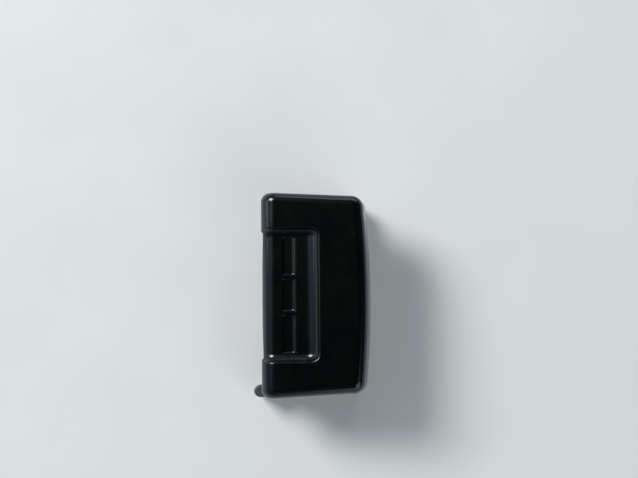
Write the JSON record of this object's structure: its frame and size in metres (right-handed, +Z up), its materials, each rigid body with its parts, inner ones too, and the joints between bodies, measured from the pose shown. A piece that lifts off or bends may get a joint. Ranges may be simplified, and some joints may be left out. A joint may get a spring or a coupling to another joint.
{
  "type": "id card slot punch",
  "caption": "Desk punch that cuts an oblong strap slot in plastic ID cards: wide hinged lever over a flat base with card stop, side guide and chip drawer.",
  "frame": {"origin": "on the table, under the middle of the punch's box at rest", "axes": "+X along the lever's long side towards the card guide, +Y from the card mouth to the press edge, +Z up"},
  "size_m": [0.1034, 0.0597, 0.0495],
  "materials": {
    "lever_black": "satin moulded ABS",
    "base_black": "fine textured ABS",
    "slate_plastic": "satin moulded ABS",
    "drawer_grey": "satin moulded ABS",
    "zinc_steel": "zinc-plated sheet",
    "bare_aluminium": "milled",
    "tool_steel": "hardened and ground",
    "bright_steel": "ground",
    "spring_steel": "drawn wire and spring strip",
    "black_oxide": "black oxide",
    "nylon": "natural nylon",
    "rubber": "matt"
  },
  "bodies": {
    "base": {"base_housing": "base_black", "bottom_cover": "base_black", "bottom_screws": "black_oxide", "foot_1": "rubber", "foot_2": "rubber", "foot_3": "rubber", "foot_4": "rubber", "steel_frame": "zinc_steel", "frame_screws": "black_oxide", "die_insert": "tool_steel", "punch_guide": "bare_aluminium", "guide_screws": "black_oxide", "depth_stop": "base_black", "stop_screws": "black_oxide", "guide_post_left": "bright_steel", "guide_post_right": "bright_steel", "return_spring_left": "spring_steel", "return_spring_right": "spring_steel", "pivot_pin": "bright_steel", "pivot_clip_left": "spring_steel", "pivot_clip_right": "spring_steel"},
    "lever": {"lever_cover": "lever_black", "lever_frame": "zinc_steel", "cover_screws": "black_oxide", "pivot_bush_left": "nylon", "pivot_bush_right": "nylon", "drive_pin": "bright_steel", "drive_clip_left": "spring_steel", "drive_clip_right": "spring_steel"},
    "ram": {"ram_bar": "bare_aluminium", "punch_blade": "tool_steel", "blade_pin": "bright_steel"},
    "drawer": {"chip_drawer": "drawer_grey"},
    "guide": {"card_guide": "slate_plastic"}
  },
  "joints": [
    {"name": "lever_press", "type": "hinge", "parent": "base", "child": "lever", "pos_m": [0, -0.0169, 0.0299], "axis": [-1, 0, 0], "range_deg": [0, 14.2], "stiffness_Nm_per_rad": 0.44, "springref_deg": -15.47},
    {"name": "ram_slide", "type": "slide", "parent": "base", "child": "ram", "axis": [0, 0, -1], "range_m": [0, 0.003], "deforming": ["return_spring_left", "return_spring_right"]},
    {"name": "drawer_slide", "type": "slide", "parent": "base", "child": "drawer", "axis": [0, 1, 0], "range_m": [0, 0.03]},
    {"name": "guide_slide", "type": "slide", "parent": "base", "child": "guide", "axis": [-1, 0, 0], "range_m": [0, 0.0158]}
  ],
  "couplings": [
    {"joint": "ram_slide", "follows": "lever_press", "m_per_rad": 0.012069}
  ]
}
